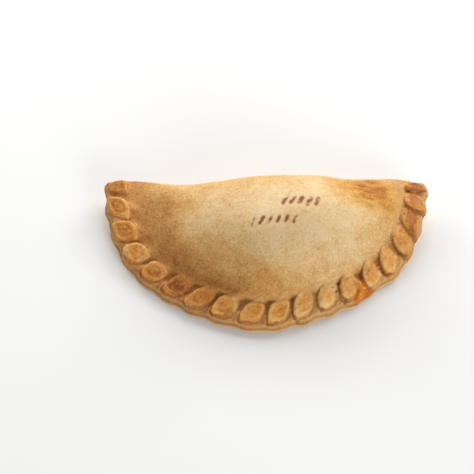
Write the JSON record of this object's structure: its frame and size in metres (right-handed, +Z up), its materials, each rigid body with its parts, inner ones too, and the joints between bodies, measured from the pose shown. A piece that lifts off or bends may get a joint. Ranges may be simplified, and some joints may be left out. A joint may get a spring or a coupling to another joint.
{
  "type": "empanada",
  "caption": "Whole baked empanada: a half-moon of golden dough folded over its filling, with a rope edge of slanted pinches round the curved front.",
  "frame": {"origin": "on the ground, under the middle of the bounding box", "axes": "+Z up, +X along the fold towards the right tip, +Y from the rope edge towards the fold"},
  "size_m": [0.1354, 0.0682, 0.0354],
  "materials": {
    "crust": "baked shortcrust dough, matt, golden with browned pinches"
  },
  "bodies": {
    "root": {"empanada": "crust"}
  },
  "joints": []
}
